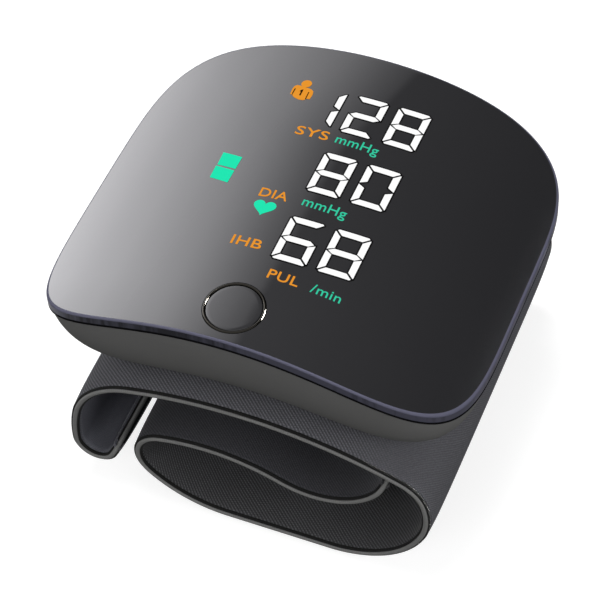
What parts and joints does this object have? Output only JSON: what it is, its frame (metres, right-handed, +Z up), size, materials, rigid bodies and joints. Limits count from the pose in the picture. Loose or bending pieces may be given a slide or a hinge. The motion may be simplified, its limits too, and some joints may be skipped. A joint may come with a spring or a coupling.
{
  "type": "wrist blood pressure monitor",
  "caption": "Arched glossy display unit with a round start button, on a curled cloth wrist cuff that springs open and wraps round a wrist.",
  "frame": {"origin": "on the ground under the middle of the display unit", "axes": "+Z up through the display, lettering reads along +X, start button on the -Y side"},
  "size_m": [0.08, 0.0702, 0.0549],
  "materials": {
    "lens": "polished black acrylic",
    "frame": "moulded black",
    "casing": "fine matte charcoal",
    "ring": "dark bright ring",
    "steel": "plain",
    "board": "solder mask",
    "guide": "white reflector",
    "component": "moulded black",
    "silicone": "milky",
    "cell": "plain sleeve",
    "cloth": "ribbed twill",
    "lining": "fine weave",
    "tape": "grosgrain edge binding",
    "sheet": "sheet stock",
    "hook": "hook side of a hook-and-loop fastener",
    "bladder": "coated film"
  },
  "bodies": {
    "monitor": {"front_lens": "lens", "upper_frame": "frame", "lower_case": "casing", "case_screw_1": "steel", "case_screw_2": "steel", "case_screw_3": "steel", "case_screw_4": "steel", "main_board": "board", "display_light_guide": "guide", "button_ring": "ring", "button_switch": "component", "buzzer": "component", "pump_motor": "steel", "pump_head": "component", "release_valve": "steel", "pressure_sensor": "component", "air_tubing": "silicone", "battery_cell_inner": "cell", "battery_cell_outer": "cell", "battery_contact_front": "steel", "battery_contact_rear": "steel", "cuff_cloth_upper": "cloth", "cuff_lining_upper": "lining", "cuff_binding_upper": "tape", "cuff_retainer": "sheet", "cuff_stiffener": "sheet", "hook_patch": "hook", "air_bladder_upper": "bladder"},
    "button": {"start_button": "lens"},
    "door": {"battery_door": "casing"},
    "wrap": {"cuff_cloth_lower": "cloth", "cuff_lining_lower": "lining", "cuff_binding_lower": "tape", "air_bladder_lower": "bladder"}
  },
  "joints": [
    {"name": "start_press", "type": "slide", "parent": "monitor", "child": "button", "axis": [0, 0, -1], "range_m": [0, 0.0008], "stiffness_N_per_m": 1500, "springref_m": -0.0002},
    {"name": "door_off", "type": "slide", "parent": "monitor", "child": "door", "axis": [-0.788, 0, -0.6157], "range_m": [0, 0.015]},
    {"name": "cuff_open", "type": "hinge", "parent": "monitor", "child": "wrap", "pos_m": [0.03589, 0, 0.01809], "axis": [0, -1, 0], "range_deg": [0, 60], "stiffness_Nm_per_rad": 0.05, "springref_deg": -28.65}
  ]
}
